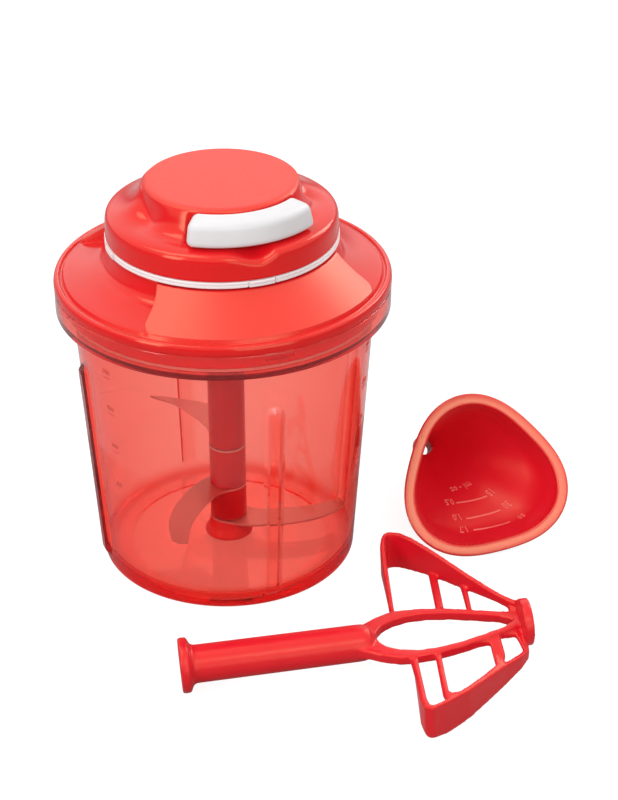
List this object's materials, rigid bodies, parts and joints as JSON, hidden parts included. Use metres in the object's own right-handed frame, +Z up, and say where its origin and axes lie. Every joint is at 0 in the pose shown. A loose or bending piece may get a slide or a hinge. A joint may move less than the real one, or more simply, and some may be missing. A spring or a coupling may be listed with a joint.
{
  "type": "pull-cord food chopper",
  "caption": "Hand food chopper: tinted bowl with stacked curved blades on a column, domed lid with a cord-driven cap and pull handle, plus a whisk paddle and a funnel cup.",
  "frame": {"origin": "middle of the bowl's underside, at table height", "axes": "+Z up along the bowl's axis, -Y out of the pull handle"},
  "size_m": [0.2543, 0.2806, 0.2078],
  "materials": {
    "tinted_bowl": "clear red tint",
    "red_plastic": "semi-gloss red",
    "white_plastic": "satin white",
    "steel": "brushed",
    "cord": "braided",
    "gasket_rubber": "matte"
  },
  "bodies": {
    "bowl": {"bowl": "tinted_bowl", "bowl_pivot_pin": "steel", "whisk_paddle": "red_plastic", "funnel_cup": "red_plastic"},
    "seal": {"lid_gasket": "gasket_rubber"},
    "lid": {"lid_cover": "red_plastic", "snap_ring": "white_plastic", "cap_housing": "red_plastic", "mechanism_base": "red_plastic", "base_screw_1": "steel", "base_screw_2": "steel", "base_screw_3": "steel", "spindle_bush": "white_plastic", "spring_cup": "white_plastic", "power_spring": "steel", "cord_eyelet": "white_plastic", "cord_lead": "cord"},
    "handle": {"pull_handle": "white_plastic", "handle_knot": "cord"},
    "spool": {"cord_spool": "white_plastic", "cord_winding": "cord", "drive_spindle": "steel", "spindle_clip": "steel"},
    "blade_unit": {"column_foot": "red_plastic", "spacer_lower": "red_plastic", "spacer_upper": "red_plastic", "column_upper": "red_plastic", "blade_top": "steel", "blade_middle": "steel", "blade_bottom": "steel"}
  },
  "joints": [
    {"name": "lid_lift", "type": "slide", "parent": "bowl", "child": "seal", "axis": [0, 0, 1], "range_m": [0, 0.13]},
    {"name": "lid_turn", "type": "hinge", "parent": "seal", "child": "lid", "pos_m": [0, 0, 0.16], "axis": [0, 0, 1], "range_deg": [-12, 0]},
    {"name": "handle_pull", "type": "slide", "parent": "lid", "child": "handle", "axis": [0, -1, 0], "range_m": [0, 0.33], "stiffness_N_per_m": 20, "springref_m": -0.4, "deforming": ["cord_lead"]},
    {"name": "spool_spin", "type": "hinge", "parent": "lid", "child": "spool", "pos_m": [0, 0, 0.19], "axis": [0, 0, 1], "range_deg": [0, 1200]},
    {"name": "blade_spin", "type": "hinge", "parent": "bowl", "child": "blade_unit", "pos_m": [0, 0, 0.05], "axis": [0, 0, 1], "range_deg": [0, 1200]}
  ],
  "couplings": [
    {"joint": "spool_spin", "follows": "handle_pull", "rad_per_m": 63.2},
    {"joint": "blade_spin", "follows": "handle_pull", "rad_per_m": 63.2}
  ]
}
